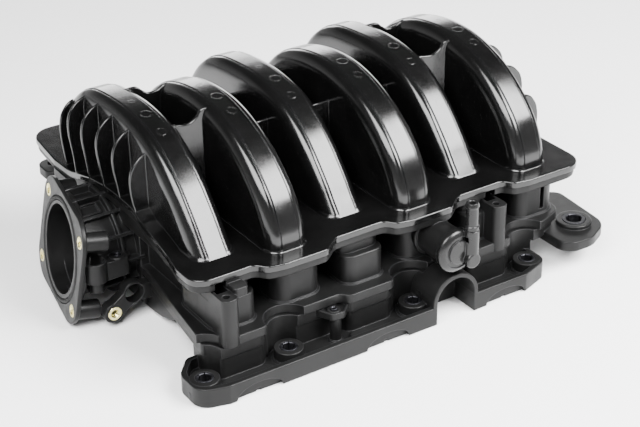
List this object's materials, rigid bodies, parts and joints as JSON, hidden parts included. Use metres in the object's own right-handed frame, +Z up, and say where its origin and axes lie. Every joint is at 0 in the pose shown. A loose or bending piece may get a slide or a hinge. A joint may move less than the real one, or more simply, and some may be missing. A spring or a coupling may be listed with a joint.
{
  "type": "intake manifold",
  "caption": "Moulded plastic intake manifold for a V6 engine: arched runners over a shared plenum, angled throttle flange, a head flange on each long side.",
  "frame": {"origin": "centre of the footprint, on the plane of the two head flanges", "axes": "+X along the crankshaft, away from the throttle flange; +Z up out of the engine valley; -Y is the side with the hose fitting"},
  "size_m": [0.3908, 0.3154, 0.1597],
  "materials": {
    "gloss_black": "gloss black glass-filled nylon",
    "satin_black": "satin black glass-filled nylon",
    "seal_rubber": "matt moulded rubber",
    "insert_brass": "turned brass",
    "sleeve_steel": "phosphated steel"
  },
  "bodies": {
    "root": {"upper_shell": "gloss_black", "fitting_cap": "gloss_black", "hose_nipple": "gloss_black", "middle_shell": "satin_black", "lower_shell": "satin_black", "runner_floor_low_1": "satin_black", "runner_floor_low_2": "satin_black", "runner_floor_low_3": "satin_black", "runner_floor_high_1": "satin_black", "runner_floor_high_2": "satin_black", "runner_floor_high_3": "satin_black", "throttle_seal": "seal_rubber", "port_seal_near_1": "seal_rubber", "port_seal_near_2": "seal_rubber", "port_seal_near_3": "seal_rubber", "port_seal_far_1": "seal_rubber", "port_seal_far_2": "seal_rubber", "port_seal_far_3": "seal_rubber", "throttle_insert_1": "insert_brass", "throttle_insert_2": "insert_brass", "throttle_insert_3": "insert_brass", "throttle_insert_4": "insert_brass", "link_insert": "insert_brass", "bolt_sleeve_near_1": "sleeve_steel", "bolt_sleeve_near_2": "sleeve_steel", "bolt_sleeve_near_3": "sleeve_steel", "bolt_sleeve_near_4": "sleeve_steel", "bolt_sleeve_far_1": "sleeve_steel", "bolt_sleeve_far_2": "sleeve_steel", "bolt_sleeve_far_3": "sleeve_steel", "bolt_sleeve_far_4": "sleeve_steel", "ear_sleeve": "sleeve_steel", "bracket_pin": "sleeve_steel", "sensor_insert": "sleeve_steel"}
  },
  "joints": []
}
